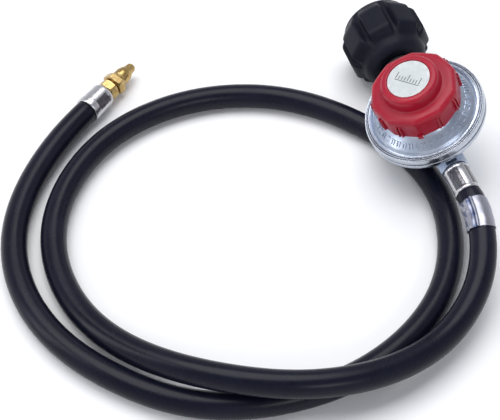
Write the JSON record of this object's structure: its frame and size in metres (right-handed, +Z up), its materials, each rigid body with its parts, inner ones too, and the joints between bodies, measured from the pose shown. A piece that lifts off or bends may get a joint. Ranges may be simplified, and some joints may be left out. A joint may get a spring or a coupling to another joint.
{
  "type": "propane regulator hose",
  "caption": "Low-pressure gas regulator with a hand-tightened tank coupling nut, a red cap and a long rubber hose that ends in a brass burner nozzle.",
  "frame": {"origin": "on the surface that the part lies on, at the bottom centre of the regulator's box, without the hose and the fitting on its far end", "axes": "+Z up from the surface; +Y along the inlet, out of the tank coupling's mouth; the red cap's axis leans 24 degrees from +Z towards -X"},
  "size_m": [0.2718, 0.255, 0.0723],
  "materials": {
    "zinc_body": "satin die-cast zinc",
    "zinc_bonnet": "satin die-cast zinc with a blue-grey sheen",
    "crimp_steel": "rolled zinc-plated steel",
    "red_plastic": "gloss moulded plastic",
    "sticker": "printed film, satin",
    "black_nut": "fine matt moulded plastic",
    "black_bush": "matt moulded plastic",
    "brass": "turned brass",
    "plated_brass": "nickel-plated turned brass",
    "hose_rubber": "satin extruded rubber",
    "seal_rubber": "matt moulded rubber",
    "spring_steel": "drawn wire",
    "stamped_steel": "stamped zinc-plated steel",
    "foil": "crumpled aluminium foil",
    "ferrule_steel": "bright plated steel"
  },
  "bodies": {
    "regulator": {"lower_body": "zinc_body", "bonnet": "zinc_bonnet", "crimp_ring": "crimp_steel", "diaphragm": "seal_rubber", "main_spring": "spring_steel", "lever_pin": "spring_steel", "orifice_seat": "brass", "inlet_nipple": "brass", "flow_spring": "spring_steel", "poppet_retainer": "stamped_steel", "outlet_stem": "brass", "outlet_ferrule": "ferrule_steel", "hose": "hose_rubber", "hose_tag": "foil", "far_ferrule": "ferrule_steel", "far_stem": "brass", "nozzle": "brass"},
    "bushing": {"thermal_bushing": "black_bush"},
    "coupling": {"coupling_nut": "black_nut"},
    "spring_disc": {"spring_seat": "stamped_steel"},
    "cap": {"red_cap": "red_plastic", "cap_label": "sticker"},
    "diaphragm_group": {"diaphragm_plate": "stamped_steel", "diaphragm_washer": "stamped_steel", "diaphragm_stem": "brass"},
    "lever": {"valve_lever": "stamped_steel"},
    "valve": {"valve_slider": "brass", "valve_pad": "seal_rubber"},
    "flow_check": {"flow_poppet": "brass"}
  },
  "joints": [
    {"name": "bushing_play", "type": "slide", "parent": "regulator", "child": "bushing", "axis": [0, 1, 0], "range_m": [-0.0013, 0.0013]},
    {"name": "nut_turn", "type": "hinge", "parent": "bushing", "child": "coupling", "pos_m": [0.006, 0.049, 0.024], "axis": [0, 1, 0], "continuous": true},
    {"name": "disc_travel", "type": "slide", "parent": "regulator", "child": "spring_disc", "axis": [-0.4067, 0, 0.9135], "range_m": [0, 0.002], "deforming": ["main_spring"]},
    {"name": "cap_turn", "type": "hinge", "parent": "spring_disc", "child": "cap", "pos_m": [-0.01027, -0.017, 0.06054], "axis": [-0.4067, 0, 0.9135], "range_deg": [0, 360]},
    {"name": "diaphragm_travel", "type": "slide", "parent": "regulator", "child": "diaphragm_group", "axis": [-0.4067, 0, 0.9135], "range_m": [0, 0.0021], "stiffness_N_per_m": 400, "springref_m": -0.005, "deforming": ["diaphragm"]},
    {"name": "lever_swing", "type": "hinge", "parent": "regulator", "child": "lever", "pos_m": [0.00356, -0.029, 0.02948], "axis": [0.9135, 0, 0.4067], "range_deg": [0, 10.6]},
    {"name": "valve_slide", "type": "slide", "parent": "regulator", "child": "valve", "axis": [0, 1, 0], "range_m": [0, 0.0011]},
    {"name": "poppet_slide", "type": "slide", "parent": "regulator", "child": "flow_check", "axis": [0, 1, 0], "range_m": [-0.0033, 0], "stiffness_N_per_m": 60, "springref_m": 0.003, "deforming": ["flow_spring"]}
  ],
  "couplings": [
    {"joint": "cap_turn", "follows": "disc_travel", "rad_per_m": 3141.6},
    {"joint": "lever_swing", "follows": "diaphragm_travel", "rad_per_m": 83.333},
    {"joint": "valve_slide", "follows": "diaphragm_travel", "ratio": 0.5}
  ]
}
